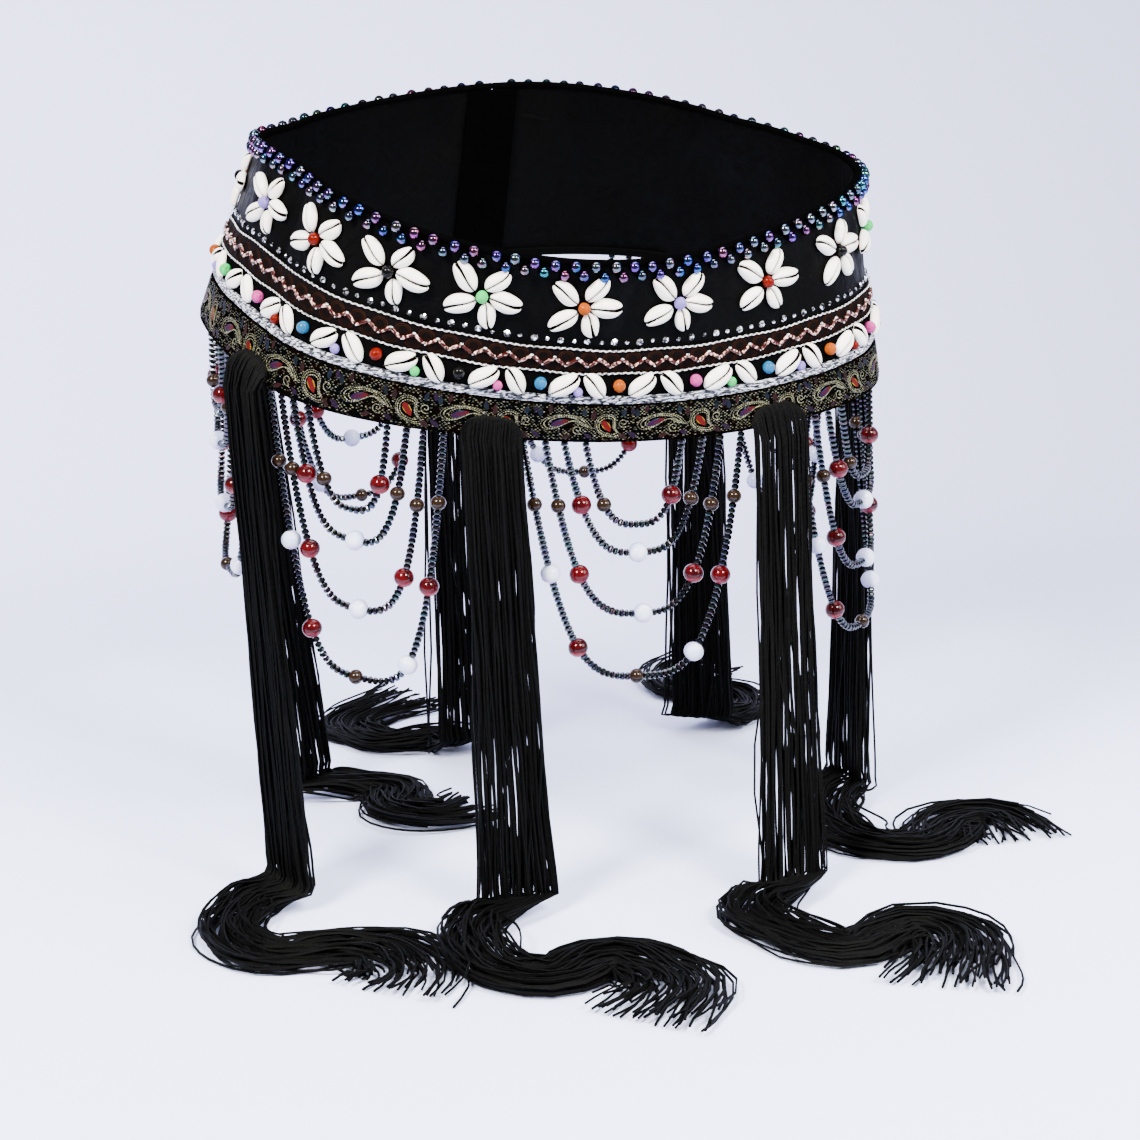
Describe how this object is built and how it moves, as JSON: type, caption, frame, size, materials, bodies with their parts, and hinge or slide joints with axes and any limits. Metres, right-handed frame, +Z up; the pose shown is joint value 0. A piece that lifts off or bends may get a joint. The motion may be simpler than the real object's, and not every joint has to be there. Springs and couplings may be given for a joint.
{
  "type": "belly dance hip belt",
  "caption": "Flared velvet hip belt with cowrie flowers, woven trims, hanging bead loops and long floor-length tassels, in the shape it has when worn.",
  "frame": {"origin": "middle of the hip opening at the band's top edge, where the wearer's hips hold the belt", "axes": "+Z up, -Y the front, +X the wearer's left"},
  "size_m": [0.4659, 0.597, 0.412],
  "materials": {
    "velvet": "near-black velvet",
    "binding": "black satin tape",
    "braid": "dark brown woven braid",
    "ribbon": "black ribbon",
    "silver": "silver metallic ribbon",
    "paisley": "woven brocade",
    "cowrie": "polished shell",
    "thread": "black rayon cord",
    "beads": "iridescent beads"
  },
  "bodies": {
    "root": {"velvet_panel": "velvet", "top_binding": "binding", "closure_tab": "velvet", "brown_braid": "braid", "cowrie_ribbon": "ribbon", "silver_ribbon": "silver", "paisley_trim": "paisley", "flower_f01": "cowrie", "flower_f02": "cowrie", "flower_f03": "cowrie", "flower_f04": "cowrie", "flower_f05": "cowrie", "flower_f06": "cowrie", "flower_f07": "cowrie", "flower_f08": "cowrie", "flower_f09": "cowrie", "flower_f10": "cowrie", "flower_f11": "cowrie", "flower_f12": "cowrie", "flower_f13": "cowrie", "flower_f14": "cowrie", "flower_f15": "cowrie", "flower_f16": "cowrie", "flower_f17": "cowrie", "flower_f18": "cowrie", "tassel_t1": "thread", "tassel_t2": "thread", "tassel_t3": "thread", "tassel_t4": "thread", "tassel_t5": "thread", "tassel_t6": "thread", "tassel_t7": "thread", "bead_loops_b1": "beads", "bead_loops_b2": "beads", "bead_loops_b3": "beads", "bead_loops_b4": "beads", "bead_loops_b5": "beads", "bead_loops_b6": "beads", "bead_loops_b7": "beads"}
  },
  "joints": []
}
